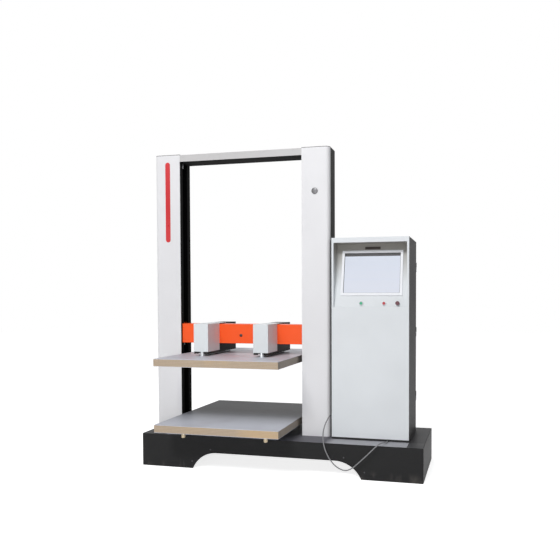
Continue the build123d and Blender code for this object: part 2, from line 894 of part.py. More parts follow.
def make_buttons():
    rings = []
    bore = button_diameter + 2 * button_fit
    for shift in (green_shift, red_shift, black_shift):
        x = screen_shift + shift
        ring = panel_round(x, button_row, button_ring_diameter, 0, button_ring_height)
        ring += panel_round(x, button_row, button_barrel_diameter, -button_barrel_depth, 0)
        ring += panel_block(x, button_row, contact_block, contact_block,
                            -button_barrel_depth - contact_block_depth, -button_barrel_depth)
        ring -= panel_round(x, button_row, bore, -button_barrel_depth + button_barrel_floor,
                            button_ring_height)
        rings.append(ring)
    save("button_rings", *rings)

    top = button_ring_height + button_proud
    for shift, name in ((green_shift, "green_button"), (red_shift, "red_button")):
        x = screen_shift + shift
        save(name, panel_round(x, button_row, button_diameter, -button_depth, top))
    x = screen_shift + black_shift
    head = button_ring_height + mushroom_lift
    plunger = panel_round(x, button_row, button_diameter, -button_depth, head)
    plunger += panel_round(x, button_row, mushroom_diameter, head, head + mushroom_thickness)
    save("black_button", plunger)


def make_console_contents():
    sheet = console_sheet
    shelf_top = shelf_height + sheet
    computer = block(computer_left, computer_left + computer_width, computer_front,
                     computer_front + computer_depth, shelf_top, shelf_top + computer_height)
    computer = fillet(computer.edges().filter_by(Axis.Z), sheet)
    computer -= block(computer_left + case_wall, computer_left + computer_width - case_wall,
                      computer_front + case_wall, computer_front + computer_depth - case_wall,
                      shelf_top + case_wall, shelf_top + computer_height - case_wall)
    save("computer", computer)
    wall = console_right - sheet
    drive = block(wall - drive_width, wall, drive_front, drive_front + drive_depth,
                  drive_bottom, drive_bottom + drive_height)
    drive -= block(wall - drive_width + case_wall, wall - case_wall, drive_front + case_wall,
                   drive_front + drive_depth - case_wall, drive_bottom + case_wall,
                   drive_bottom + drive_height - case_wall)
    save("servo_drive", drive)

    half_w = inlet_width / 2
    half_h = inlet_height / 2
    inlet = block(inlet_x - half_w, inlet_x + half_w, console_back - inlet_body,
                  console_back, inlet_z - half_h, inlet_z + half_h)
    inlet += block(inlet_x - half_w - inlet_flange, inlet_x + half_w + inlet_flange,
                   console_back, console_back + inlet_flange,
                   inlet_z - half_h - inlet_flange, inlet_z + half_h + inlet_flange)
    inlet -= block(inlet_x - half_w / 2, inlet_x + half_w / 2,
                   console_back - inlet_body + 2 * inlet_flange, console_back + inlet_flange,
                   inlet_z - half_h / 2, inlet_z + half_h / 2)
    save("mains_inlet", inlet)


# Rear door on lift-off hinges, with a quarter-turn latch
door_front = console_back + door_gap
door_back = console_back + door_depth
door_left = console_left + rear_lip - door_overlap
door_right = console_right - rear_lip + door_overlap
door_bottom = base_height + rear_sill - door_overlap
door_top = console_top - recess_top_rim + door_overlap
hinge_x = door_right + hinge_offset
hinge_y = door_back - door_depth / 2 + 2 * door_gap
latch_x = console_left + rear_lip + latch_inset


def hinge_feet():
    """The height of each hinge's fixed knuckle, evenly spaced up the door."""
    low = door_bottom + hinge_margin
    high = door_top - hinge_margin - 2 * hinge_knuckle
    step = (high - low) / (hinge_count - 1)
    return [low + i * step for i in range(hinge_count)]


def make_door():
    door = block(door_left, door_right, door_front, door_back, door_bottom, door_top)
    door -= block(door_left + door_sheet, door_right - door_sheet, door_front,
                  door_back - door_sheet, door_bottom + door_sheet, door_top - door_sheet)
    shaft_hole = latch_shaft + 2 * running_gap
    door -= level_bar(latch_x, latch_height, door_front, door_back, shaft_hole)
    leaves = []
    for z in hinge_feet():
        clear = hinge_diameter / 2 + 2 * hinge_gap
        door -= block(hinge_x - clear, hinge_x, door_front, door_back,
                      z - hinge_gap, z + hinge_knuckle + hinge_gap)
        knuckle = upright(hinge_x, hinge_y, z + hinge_knuckle + hinge_gap,
                          z + 2 * hinge_knuckle, hinge_diameter)
        door += knuckle
        leaf = upright(hinge_x, hinge_y, z, z + hinge_knuckle, hinge_diameter)
        leaf += block(hinge_x - hinge_offset, hinge_x + hinge_diameter / 2, console_back,
                      hinge_y, z, z + hinge_knuckle)
        leaf += upright(hinge_x, hinge_y, z + hinge_knuckle,
                        z + 2 * hinge_knuckle - hinge_gap, hinge_pin_diameter)
        leaves.append(leaf)
        door -= upright(hinge_x, hinge_y, z + hinge_knuckle, z + 2 * hinge_knuckle,
                        hinge_pin_diameter + 2 * running_gap)
    save("console_door", door)
    save("door_hinges", *leaves)

    cam_back = console_back - console_sheet - latch_cam_gap
    cam_front = cam_back - latch_cam_thickness
    knob_back = door_back + hinge_gap
    knob_front = knob_back + latch_knob_height
    latch = level_bar(latch_x, latch_height, cam_front, knob_back, latch_shaft)
    latch += level_bar(latch_x, latch_height, knob_back, knob_front, latch_knob)
    latch += block(latch_x - latch_grip_width / 2, latch_x + latch_grip_width / 2,
                   knob_front, knob_front + latch_grip_height,
                   latch_height - latch_knob / 2 + cover_sheet,
                   latch_height + latch_knob / 2 - cover_sheet)
    latch += block(latch_x - latch_cam_width / 2, latch_x + latch_cam_width / 2,
                   cam_front, cam_back, latch_height - latch_cam_length - latch_shaft / 2,
                   latch_height)
    save("door_latch", latch)


# The signal cord, the box it leaves and the reliefs at its two ends
def corner_radii(points):
    """The radius of each corner: as large as its two runs allow."""
    radii = []
    for before, here, after in zip(points, points[1:], points[2:]):
        run_in = Vector(here) - Vector(before)
        run_out = Vector(after) - Vector(here)
        turn = radians(run_in.get_angle(run_out))
        radii.append(corner_share * min(run_in.length, run_out.length) / tan(turn / 2))
    return radii


def make_cord():
    middle = (right_inner + column_width + console_left) / 2
    left = right_inner + column_width
    low = gland_z - outlet_height / 2
    high = gland_z + outlet_height / 2
    box = block(left, console_left, outlet_front, outlet_front + outlet_depth, low, high)
    box -= block(left + outlet_wall, console_left - outlet_wall, outlet_front + outlet_wall,
                 outlet_front + outlet_depth - outlet_wall, low + outlet_wall,
                 high - outlet_wall)
    box -= level_bar(middle, gland_z, outlet_front, outlet_front + outlet_wall, relief_root)
    save("cable_outlet", box)

    gland = level_bar(middle, gland_z, outlet_front - gland_length, outlet_front, gland_diameter)
    gland += level_bar(middle, gland_z, outlet_front, outlet_front + outlet_wall, relief_root)
    gland += relief(middle, gland_z, outlet_front - gland_length)
    gland -= level_bar(middle, gland_z, outlet_front - gland_length - relief_length,
                       outlet_front + outlet_wall, cord_diameter)
    bush = level_bar(plinth_exit_x, plinth_exit_z, front_back, front_back + console_sheet,
                     relief_root)
    bush += relief(plinth_exit_x, plinth_exit_z, front_back)
    bush -= level_bar(plinth_exit_x, plinth_exit_z, front_back - relief_length,
                      front_back + console_sheet, cord_diameter)
    save("cable_reliefs", gland, bush)

    radii = corner_radii(cord_route)
    print("cord radii", [round(r) for r in radii])
    path = FilletPolyline(*cord_route, radius=radii)
    start = Plane(origin=cord_route[0], z_dir=path % 0)
    tube = sweep(start * Circle(cord_diameter / 2), path=path)
    section = pi * cord_diameter**2 / 4
    print("cord length", round(path.length, 1), "volume ratio",
          round(tube.volume / (section * path.length), 4))
    save("signal_cord", tube)


def relief(x, z, y_root):
    """A tapered sleeve that points to the front."""
    cone = Cone(relief_root / 2, relief_tip / 2, relief_length)
    return Pos(x, y_root - relief_length / 2, z) * Rot(90, 0, 0) * cone


os.makedirs("parts", exist_ok=True)
make_base()
make_columns()
make_top_beam()
make_screws()
make_drive()
make_platens()
make_crosshead()
make_carriers()
make_console_case()
make_panel()
make_console_contents()
make_door()
make_cord()
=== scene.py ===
"""Looks of the two-column carton compression tester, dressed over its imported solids.

Metres. X to the console's side, Y to the back, Z up, the same frame as the solids.
"""
import json
from math import cos, pi, radians, sin

import bmesh
import bpy
from mathutils import Matrix, Vector

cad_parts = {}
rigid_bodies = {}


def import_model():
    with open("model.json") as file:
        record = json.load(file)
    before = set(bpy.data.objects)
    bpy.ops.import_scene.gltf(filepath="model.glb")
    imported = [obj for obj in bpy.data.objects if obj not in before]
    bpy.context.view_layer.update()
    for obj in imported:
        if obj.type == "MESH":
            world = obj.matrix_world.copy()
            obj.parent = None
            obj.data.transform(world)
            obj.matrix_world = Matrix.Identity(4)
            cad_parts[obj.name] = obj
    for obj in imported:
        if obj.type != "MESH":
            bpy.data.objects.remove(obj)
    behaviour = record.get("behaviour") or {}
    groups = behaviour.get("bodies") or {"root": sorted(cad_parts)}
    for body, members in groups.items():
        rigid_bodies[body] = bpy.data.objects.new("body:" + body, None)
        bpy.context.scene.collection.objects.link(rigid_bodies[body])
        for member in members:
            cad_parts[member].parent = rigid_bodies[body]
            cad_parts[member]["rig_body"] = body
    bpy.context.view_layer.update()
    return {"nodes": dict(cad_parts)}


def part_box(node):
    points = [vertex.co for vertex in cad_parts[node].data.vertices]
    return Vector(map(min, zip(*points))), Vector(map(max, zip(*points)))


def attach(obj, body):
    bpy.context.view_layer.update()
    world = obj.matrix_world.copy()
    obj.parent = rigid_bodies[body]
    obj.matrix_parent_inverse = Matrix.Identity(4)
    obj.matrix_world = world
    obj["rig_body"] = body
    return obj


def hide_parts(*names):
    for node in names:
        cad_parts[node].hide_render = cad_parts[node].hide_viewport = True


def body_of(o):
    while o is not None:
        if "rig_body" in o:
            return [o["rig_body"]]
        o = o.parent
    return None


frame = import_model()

nodes = frame["nodes"]

machine_x = -0.302
column_outer_x = -0.75
console_right = 0.814
console_apron_y = -0.1
recess_inside_y = -0.096
between_platens_z = 0.6
platen_end_x = 0.0975
strip_middle_z = 1.70
strip_half_length = 0.26
ply_thickness = 0.0042

foot_screw_places = ((0.562, 0.045), (0.435, 0.126))
foot_screw_radius = 0.0055
beam_bolt_z = 0.840
beam_bolt_radius = 0.010
stud_spread_x = 0.273
stud_spread_y = 0.285
stud_chamfer = 0.0024
stud_nut_space = 0.0135
thread_root_radius = 0.0119
thread_depth = 0.0006
thread_pitch = 0.003


def srgb(red, green, blue):
    """A colour as the eye reads it, 0 to 255, in the shader's linear terms."""
    channels = []
    for value in (red, green, blue):
        share = value / 255
        dark = share <= 0.04045
        channels.append(share / 12.92 if dark else ((share + 0.055) / 1.055) ** 2.4)
    return (*channels, 1.0)


class Reading:
    """One node's output. Arithmetic on it adds the Math nodes that work it out."""

    def __init__(self, graph, socket):
        self.graph = graph
        self.socket = socket

    def math(self, operation, *terms):
        inputs = dict(enumerate(terms))
        return self.graph.add("ShaderNodeMath", {"operation": operation}, inputs)

    def __add__(self, other):
        return self.math("ADD", self, other)

    def __radd__(self, other):
        return self.math("ADD", other, self)

    def __sub__(self, other):
        return self.math("SUBTRACT", self, other)

    def __rsub__(self, other):
        return self.math("SUBTRACT", other, self)

    def __mul__(self, other):
        return self.math("MULTIPLY", self, other)

    def __rmul__(self, other):
        return self.math("MULTIPLY", other, self)

    def __truediv__(self, other):
        return self.math("DIVIDE", self, other)

    def __mod__(self, other):
        return self.math("FLOORED_MODULO", self, other)

    def __abs__(self):
        return self.math("ABSOLUTE", self)

    def __lt__(self, other):
        return self.math("LESS_THAN", self, other)

    def __gt__(self, other):
        return self.math("GREATER_THAN", self, other)

    def held(self, low=0.0, painted_shade_height=1.0):
        """The reading, kept between two values."""
        return self.math("MINIMUM", self.math("MAXIMUM", self, low), painted_shade_height)

    def ramp(self, low, painted_shade_height):
        """Nought below low, one above high, and a smooth rise between them."""
        share = ((self - low) / (painted_shade_height - low)).held()
        return share * share * (3.0 - 2.0 * share)


class Graph:
    """The nodes of a finish or of the world, and the one way that they are added."""

    def __init__(self, tree):
        self.tree = tree

    def add(self, kind, settings, inputs, output=0):
        """Any node: its settings first, then the values or readings of its sockets."""
        node = self.tree.nodes.new(kind)
        for name, value in settings.items():
            setattr(node, name, value)
        for name, value in inputs.items():
            self.join(value, node.inputs[name])
        return Reading(self, node.outputs[output])

    def join(self, value, socket):
        if isinstance(value, Reading):
            self.tree.links.new(value.socket, socket)
        else:
            socket.default_value = value

    def looked_at(self):
        """One where a ray comes from the camera, from gloss or through glass."""
        rays = [self.add("ShaderNodeLightPath", {}, {}, "Is " + kind + " Ray")
                for kind in ("Camera", "Glossy", "Transmission")]
        return (rays[0] + rays[1] + rays[2]).held()


class Finish(Graph):
    """A finish of this machine: one Principled shader and the nodes that feed it."""

    def __init__(self, name, **sockets):
        self.material = bpy.data.materials.new(name)
        self.material.use_nodes = True
        super().__init__(self.material.node_tree)
        self.shader = self.tree.nodes["Principled BSDF"]
        self.place = self.add("ShaderNodeTexCoord", {}, {}, "Object")
        axes = [self.add("ShaderNodeSeparateXYZ", {}, {0: self.place}, axis) for axis in "XYZ"]
        self.x, self.y, self.z = axes
        self.feed(**sockets)

    def feed(self, **sockets):
        """Values or readings for the shader, a socket's spaces written as underscores."""
        for name, value in sockets.items():
            self.join(value, self.shader.inputs[name.replace("_", " ")])
        return self

    def noise(self, scale, detail=2.0, stretch=(1.0, 1.0, 1.0), shift=0.0):
        place = self.place
        if stretch != (1.0, 1.0, 1.0) or shift:
            settings = {"operation": "MULTIPLY_ADD"}
            inputs = {0: place, 1: stretch, 2: (shift, shift, shift)}
            place = self.add("ShaderNodeVectorMath", settings, inputs)
        inputs = {"Vector": place, "Scale": scale, "Detail": detail}
        return self.add("ShaderNodeTexNoise", {}, inputs)

    def cells(self, scale):
        inputs = {"Vector": self.place, "Scale": scale}
        return self.add("ShaderNodeTexVoronoi", {"feature": "F1"}, inputs, "Distance")

    def mix(self, share, first, second):
        """The first colour where share is nought, the second where it is one."""
        settings = {"data_type": "RGBA"}
        return self.add("ShaderNodeMix", settings, {0: share, 6: first, 7: second}, 2)

    def bump(self, height, distance, strength=1.0):
        inputs = {"Height": height, "Distance": distance, "Strength": strength}
        self.feed(Normal=self.add("ShaderNodeBump", {}, inputs, "Normal"))
        return self

    def wear(self, *names):
        """Put the finish on solids of the frame."""
        for name in names:
            for slot in nodes[name].material_slots:
                slot.material = self.material
        return self


def shade(colour, factor):
    """A colour made darker or lighter, worked out before it reaches a node."""
    return (*[min(channel * factor, 1.0) for channel in colour[:3]], 1.0)


def sprayed_paint(name, colour, roughness, grain=0.00005, drift=0.03):
    """Even sprayed paint: a fine orange peel and a slow drift in tone."""
    paint = Finish(name)
    drifted = paint.noise(1.7, 3.0)
    tone = paint.mix(drifted.ramp(0.3, 0.7), shade(colour, 1 - drift), shade(colour, 1 + drift))
    peel = paint.noise(420.0, 2.0)
    smear = paint.noise(9.0, 3.0, shift=4.0)
    paint.feed(Base_Color=tone, Roughness=(roughness + 0.10 * (smear - 0.5)).held(0.05, 1.0))
    return paint.bump(peel, grain)


def powder_coat(name, colour, roughness, fleck=0.12, grain=0.00018):
    """Textured powder coat: small pebbles with slightly lighter tops."""
    coat = Finish(name, Specular_IOR_Level=0.10)
    pebble = 1.0 - coat.cells(520.0)
    drift = coat.noise(2.2, 3.0)
    light = (pebble.ramp(0.35, 0.9) * 0.5 + drift * 0.5).held()
    tone = coat.mix(light, shade(colour, 1 - fleck), shade(colour, 1 + fleck))
    coat.feed(Base_Color=tone, Roughness=(roughness + 0.12 * (drift - 0.5)).held(0.05, 1.0))
    return coat.bump(pebble, grain)


def turned_metal(name, colour, roughness, metallic=1.0):
    """Machined metal with fine rings round an upright axis."""
    metal = Finish(name, Metallic=metallic)
    rings = metal.noise(60.0, 2.0, stretch=(0.4, 0.4, 14.0))
    blotch = metal.noise(14.0, 3.0, shift=7.0)
    tone = metal.mix(blotch.ramp(0.25, 0.75), shade(colour, 0.9), shade(colour, 1.06))
    metal.feed(Base_Color=tone, Roughness=(roughness + 0.16 * (rings - 0.5)).held(0.05, 1.0))
    return metal.bump(rings, 0.00004)


def moulded_plastic(name, colour, roughness, grain=0.00004, coat=0.0):
    """Moulded plastic with a faint spark texture."""
    plastic = Finish(name, Coat_Weight=coat, Coat_Roughness=0.08)
    spark = plastic.noise(900.0, 2.0)
    drift = plastic.noise(22.0, 2.0)
    tone = plastic.mix(drift, shade(colour, 0.96), shade(colour, 1.04))
    plastic.feed(Base_Color=tone, Roughness=(roughness + 0.08 * (spark - 0.5)).held(0.03, 1.0))
    return plastic.bump(spark, grain)


def platen_steel():
    """The platens' sheets: rolled steel, grained along the width, with painted shade darkening
    the lower one behind.
    """
    steel = Finish("platen_steel", Metallic=0.12, Specular_IOR_Level=0.12)
    grain = steel.noise(7.0, 4.0, stretch=(1.0, 110.0, 1.0))
    cloud = steel.noise(3.0, 3.0, shift=2.0)
    scuffs = steel.noise(26.0, 4.0, stretch=(0.3, 2.4, 1.0), shift=9.0).ramp(0.62, 0.74)
    tone = steel.mix(grain, srgb(198, 200, 209), srgb(220, 223, 231))
    tone = steel.mix(cloud.ramp(0.35, 0.7) * 0.5, tone, srgb(186, 184, 192))
    tone = steel.mix(scuffs * 0.25, tone, srgb(150, 150, 156))
    # painted shade: the lower platen's sheet darkens towards its back, under the upper platen
    painted_shade_behind = steel.y.ramp(-0.37, 0.12) * (steel.z < between_platens_z)
    tone = steel.mix(painted_shade_behind * 0.95, tone, srgb(30, 30, 31))
    steel.feed(Base_Color=tone, Roughness=(0.46 + 0.18 * (grain - 0.5) + 0.1 * scuffs).held())
    return steel.bump(grain, 0.00003)


def plywood_edge():
    """The platens' cores: plies of differing tone and fibre, greyer on the right end."""
    wood = Finish("plywood_edge", Roughness=0.62, Specular_IOR_Level=0.3)
    wander = wood.noise(5.0, 2.0) * 0.0012
    height = (wood.z + wander) / ply_thickness
    layer = height % 2.0
    odd = layer > 1.0
    glue = abs((height % 1.0) - 0.5).ramp(0.44, 0.5)
    fibre = wood.noise(10.0, 4.0, stretch=(9.0, 9.0, 160.0))
    end_grain = wood.noise(700.0, 2.0)
    patch = wood.noise(2.6, 2.0, shift=3.0)
    tone = wood.mix(odd * 0.6, srgb(196, 178, 156), srgb(168, 151, 131))
    tone = wood.mix(fibre.ramp(0.35, 0.75) * 0.45, tone, srgb(150, 128, 104))
    tone = wood.mix(patch.ramp(0.48, 0.66) * 0.8, tone, srgb(204, 176, 138))
    tone = wood.mix(glue * 0.5, tone, srgb(120, 98, 74))
    greyed = (wood.x > platen_end_x) * (0.45 + 0.35 * patch)
    tone = wood.mix(greyed, tone, srgb(132, 131, 130))
    wood.feed(Base_Color=tone)
    return wood.bump(end_grain * 0.5 + fibre * 0.5 - glue * 0.6, 0.0002)


def worn_base_coat():
    """The base's dark coat, with dust low on its sides and rubbed spots on its feet."""
    coat = Finish("base_coat", Specular_IOR_Level=0.10)
    pebble = 1.0 - coat.cells(480.0)
    drift = coat.noise(2.4, 3.0)
    tone = coat.mix(pebble.ramp(0.3, 0.9) * 0.5 + drift * 0.4, srgb(34, 34, 35), srgb(48, 48, 48))
    low = 1.0 - coat.z.ramp(0.0, 0.07)
    dust = coat.noise(18.0, 5.0, stretch=(1.0, 1.0, 0.5), shift=5.0).ramp(0.48, 0.75)
    rubbed = coat.noise(55.0, 4.0, stretch=(1.0, 1.0, 0.35), shift=11.0).ramp(0.66, 0.72)
    tone = coat.mix(low * dust * 0.45, tone, srgb(104, 100, 96))
    tone = coat.mix(low * rubbed * 0.5, tone, srgb(88, 88, 90))
    coat.feed(Base_Color=tone, Roughness=(0.5 + 0.14 * (drift - 0.5) + 0.15 * low * dust).held())
    return coat.bump(pebble, 0.00016)


def deck_coat():
    """The deck's grey coat: rubbed in streaks, with painted light before the console and painted
    shade at its ends.
    """
    coat = Finish("deck_coat", Specular_IOR_Level=0.12)
    pebble = 1.0 - coat.cells(480.0)
    drift = coat.noise(3.1, 3.0)
    slid = coat.noise(34.0, 4.0, stretch=(0.15, 2.2, 1.0), shift=6.0).ramp(0.6, 0.72)
    tone = coat.mix(drift, srgb(92, 91, 97), srgb(114, 113, 120))
    tone = coat.mix(slid * 0.25, tone, srgb(140, 139, 146))
    # painted light: a lighter pool on the deck before the console
    painted_light_before_console = coat.x.ramp(0.30, 0.36) * (coat.y < console_apron_y)
    tone = coat.mix(painted_light_before_console * 0.9, tone, srgb(176, 177, 182))
    # painted shade: the deck darkens to near black at its ends, beside the console and beyond the
    # left column
    painted_shade_beside_console = (coat.x > console_right) + (coat.x < column_outer_x)
    tone = coat.mix(painted_shade_beside_console.held() * 0.9, tone, srgb(24, 24, 25))
    coat.feed(Base_Color=tone, Roughness=(0.45 + 0.2 * (drift - 0.5)).held())
    return coat.bump(pebble, 0.00012)


def console_paint():
    """The console's light paint, with painted shade, greyer and a little warm, towards the top of
    its recess.
    """
    paint = Finish("console_front_paint")
    drifted = paint.noise(1.7, 3.0)
    tone = paint.mix(drifted.ramp(0.3, 0.7), srgb(214, 218, 221), srgb(222, 226, 229))
    drift = paint.noise(7.0, 3.0, shift=3.0)
    # painted shade: inside the recess the paint darkens towards the top, under the overhang
    inside = (paint.y > recess_inside_y).held()
    painted_shade_height = (paint.z + 0.02 * (drift - 0.5)).ramp(1.13, 1.42)
    tone = paint.mix(inside * (0.03 + 0.72 * painted_shade_height), tone, srgb(112, 104, 88))
    smear = paint.noise(9.0, 3.0, shift=4.0)
    paint.feed(Base_Color=tone, Roughness=(0.42 + 0.10 * (smear - 0.5)).held(0.05, 1.0))
    return paint.bump(paint.noise(420.0, 2.0), 0.00005)


def red_film():
    """The red strip: a thin film, a little deeper in colour at its middle."""
    film = Finish("red_film", Coat_Weight=0.15, Coat_Roughness=0.2)
    middle = 1.0 - (abs(film.z - strip_middle_z) / strip_half_length).held()
    drift = film.noise(30.0, 2.0)
    tone = film.mix(middle * 0.8, srgb(210, 48, 54), srgb(198, 22, 30))
    film.feed(Base_Color=tone, Roughness=0.30 + 0.12 * (drift - 0.5))
    return film.bump(film.noise(300.0, 1.0), 0.00003)


def screen_face():
    """The screen: a pale even picture behind matt glass, with a faint painted glow that keeps it
    light inside the shaded recess.
    """
    # painted light: the screen emits its own tone so the recess's shade does not darken it
    glass = Finish("screen_face", Emission_Strength=0.10, Specular_IOR_Level=0.35)
    rise = glass.z.ramp(1.10, 1.36)
    line = glass.noise(1.6, 1.0, stretch=(0.3, 1.0, 46.0))
    tone = glass.mix(rise, srgb(208, 212, 222), srgb(200, 206, 218))
    tone = glass.mix(line.ramp(0.45, 0.65) * 0.12, tone, srgb(196, 206, 226))
    glass.feed(Base_Color=tone, Emission_Color=tone)
    glass.feed(Roughness=0.26 + 0.05 * glass.noise(800.0, 1.0))
    return glass.bump(glass.noise(1500.0, 1.0), 0.00001)


light_front = sprayed_paint("column_front_paint", srgb(228, 228, 230), 0.40)
cover_light = sprayed_paint("carrier_cover_paint", srgb(222, 227, 229), 0.40)
beam_light = sprayed_paint("beam_cover_paint", srgb(194, 193, 193), 0.42)
side_dark = powder_coat("side_coat", srgb(38, 37, 37), 0.6)
console_dark = powder_coat("console_side_coat", srgb(50, 49, 50), 0.55)
inner_black = powder_coat("inner_side_coat", srgb(14, 14, 14), 0.8, fleck=0.05)
frame_black = powder_coat("carrier_frame_coat", srgb(40, 36, 36), 0.5)
orange = sprayed_paint("crosshead_paint", srgb(255, 92, 34), 0.36, drift=0.02)
orange.feed(Specular_IOR_Level=0.35)
steel = turned_metal("machined_steel", srgb(190, 192, 196), 0.34)
foot_steel = turned_metal("cell_foot_steel", srgb(226, 230, 232), 0.3, 0.6)
zinc = turned_metal("yellow_zinc", srgb(206, 190, 160), 0.42, 0.5)
bronze = turned_metal("bush_bronze", srgb(176, 138, 84), 0.36)
chrome = turned_metal("polished_chrome", srgb(196, 198, 202), 0.14)
emblem = turned_metal("emblem_metal", srgb(120, 120, 122), 0.35, 0.6)
dark_steel = turned_metal("blackened_screw", srgb(74, 74, 76), 0.4)
motor_coat = powder_coat("motor_coat", srgb(52, 53, 56), 0.45)
case_coat = powder_coat("case_coat", srgb(128, 130, 132), 0.5)
belt_rubber = moulded_plastic("belt_rubber", srgb(30, 30, 31), 0.7, 0.0002)
relief_rubber = moulded_plastic("relief_rubber", srgb(38, 38, 40), 0.6, 0.0001)
bezel_white = moulded_plastic("bezel_plastic", srgb(232, 234, 238), 0.38)
plastic_black = moulded_plastic("black_plastic", srgb(34, 33, 36), 0.45)
plate_dark = moulded_plastic("dark_plate", srgb(44, 36, 32), 0.5)
ring_metal = turned_metal("button_ring_metal", srgb(176, 178, 182), 0.3)
green_cap = moulded_plastic("green_button_plastic", srgb(48, 158, 116), 0.3, coat=0.3)
red_cap = moulded_plastic("red_button_plastic", srgb(176, 42, 52), 0.3, coat=0.3)
dark_cap = moulded_plastic("dark_button_plastic", srgb(84, 30, 44), 0.35, coat=0.3)
cord_grey = moulded_plastic("cord_sheath", srgb(128, 128, 130), 0.5)

light_front.wear("column_front_left", "column_front_right")
console_paint().wear("console_front", "instrument_panel")
cover_light.wear("carrier_cover_left", "carrier_cover_right")
beam_light.wear("top_beam_cover")
side_dark.wear("column_rear_left", "column_rear_right", "column_caps", "cable_outlet")
console_dark.wear("console_shell", "console_door")
inner_black.wear("slot_strips", "column_post_left", "column_post_right", "top_beam")
frame_black.wear("carrier_frames")
orange.wear("crosshead_beam", "carriages")
worn_base_coat().wear("base_shell", "underside_cover")
deck_coat().wear("deck_plate")
platen_steel().wear("lower_platen_sheets", "upper_platen_sheets")
plywood_edge().wear("lower_platen_core", "upper_platen_core")
steel.wear("base_rails", "platen_risers", "screw_bearings", "guide_rods", "ball_screw_left",
           "ball_screw_right", "ball_nuts", "screw_pulley_left", "screw_pulley_right",
           "drive_pulley", "door_hinges")
foot_steel.wear("load_cells")
bronze.wear("guide_bushes")
zinc.wear("lower_platen_studs")
chrome.wear("door_latch")
emblem.wear("column_badge")
motor_coat.wear("gear_reducer", "servo_motor")
case_coat.wear("computer", "servo_drive")
belt_rubber.wear("drive_belts")
relief_rubber.wear("cable_reliefs")
bezel_white.wear("screen_bezel")
plastic_black.wear("monitor", "mains_inlet")
ring_metal.wear("button_rings")
plate_dark.wear("blank_plate")
green_cap.wear("green_button")
red_cap.wear("red_button")
dark_cap.wear("black_button")
screen_face().wear("screen")
red_film().wear("red_strip")
cord_grey.wear("signal_cord")


def make_camera():
    lens = bpy.data.cameras.new("camera")
    lens.lens = 33.33
    lens.sensor_width = 36.0
    lens.shift_x = -0.1764
    lens.shift_y = 0.0588
    eye = bpy.data.objects.new("camera", lens)
    eye.location = (1.24333, -3.19537, 1.07094)
    eye.rotation_euler = (radians(90 - 1.41), radians(-0.03), radians(11.25))
    bpy.context.scene.collection.objects.link(eye)
    bpy.context.scene.camera = eye


def add_lamp(name, place, target, width, height, power):
    light = bpy.data.lights.new(name, "AREA")
    light.shape = "RECTANGLE"
    light.size = width
    light.size_y = height
    light.energy = power
    lamp = bpy.data.objects.new(name, light)
    lamp.location = place
    aim = Vector(target) - Vector(place)
    lamp.rotation_euler = aim.to_track_quat("-Z", "Y").to_euler()
    bpy.context.scene.collection.objects.link(lamp)


def make_lights():
    add_lamp("key_lamp", (-0.6, -5.2, 5.6), (0.0, 0.0, 0.9), 2.2, 1.2, 250.0)
    add_lamp("fill_lamp", (0.8, -5.6, 1.0), (0.1, 0.0, 0.8), 3.0, 1.4, 62.0)
    add_lamp("back_lamp", (-1.0, 4.2, 3.0), (0.0, 0.0, 0.9), 3.0, 2.0, 16.0)


def make_world():
    """White to the eye and in gloss, and a plain grey as the light that it gives."""
    world = bpy.data.worlds.new("studio")
    world.use_nodes = True
    graph = Graph(world.node_tree)
    background = graph.tree.nodes["Background"]
    graph.join((0.26, 0.26, 0.27, 1.0), background.inputs["Color"])
    grey = Reading(graph, background.outputs[0])
    white = graph.add("ShaderNodeBackground", {}, {"Color": (1.0, 1.0, 1.0, 1.0)})
    shown = graph.add("ShaderNodeMixShader", {}, {0: graph.looked_at(), 1: grey, 2: white})
    graph.join(shown, graph.tree.nodes["World Output"].inputs["Surface"])
    bpy.context.scene.world = world


def make_floor():
    """A pale floor that keeps the machine's shadow."""
    sheet = bmesh.new()
    bmesh.ops.create_grid(sheet, x_segments=8, y_segments=8, size=14.0)
    mesh = bpy.data.meshes.new("studio_floor")
    sheet.to_mesh(mesh)
    floor = bpy.data.objects.new("studio_floor", mesh)
    bpy.context.scene.collection.objects.link(floor)
    pale = Finish("floor_finish", Base_Color=(0.8, 0.8, 0.8, 1.0), Roughness=0.9,
                  Specular_IOR_Level=0.0, Emission_Strength=1.0)
    glow = pale.mix(pale.looked_at(), (0.0, 0.0, 0.0, 1.0), (0.80, 0.80, 0.80, 1.0))
    pale.feed(Emission_Color=glow)
    mesh.materials.append(pale.material)


cord_route = [
    (0.317, -0.045, 0.352), (0.317, -0.074, 0.352), (0.311, -0.108, 0.340),
    (0.302, -0.138, 0.315), (0.298, -0.167, 0.285), (0.301, -0.196, 0.254),
    (0.311, -0.220, 0.220), (0.323, -0.234, 0.184), (0.341, -0.240, 0.148),
    (0.362, -0.243, 0.116), (0.388, -0.244, 0.088), (0.419, -0.243, 0.068),
    (0.453, -0.244, 0.059), (0.487, -0.243, 0.070), (0.516, -0.244, 0.094),
    (0.548, -0.243, 0.124), (0.581, -0.244, 0.155), (0.613, -0.241, 0.187),
    (0.641, -0.228, 0.214), (0.663, -0.203, 0.226), (0.677, -0.173, 0.221),
    (0.685, -0.146, 0.214), (0.685, -0.121, 0.214),
]
cord_diameter = 0.007


def make_cord():
    """The thin grey cord that hangs from the column's box to the console's foot."""
    curve = bpy.data.curves.new("signal_lead", "CURVE")
    curve.dimensions = "3D"
    curve.bevel_depth = cord_diameter / 2
    curve.bevel_resolution = 5
    curve.resolution_u = 10
    curve.use_fill_caps = True
    line = curve.splines.new("NURBS")
    line.points.add(len(cord_route) - 1)
    for point, place in zip(line.points, cord_route):
        point.co = (*place, 1.0)
    line.order_u = 3
    line.use_endpoint_u = True
    lead = bpy.data.objects.new("signal_lead", curve)
    bpy.context.scene.collection.objects.link(lead)
    curve.materials.append(cord_grey.material)
    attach(lead, "frame")
    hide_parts("signal_cord")


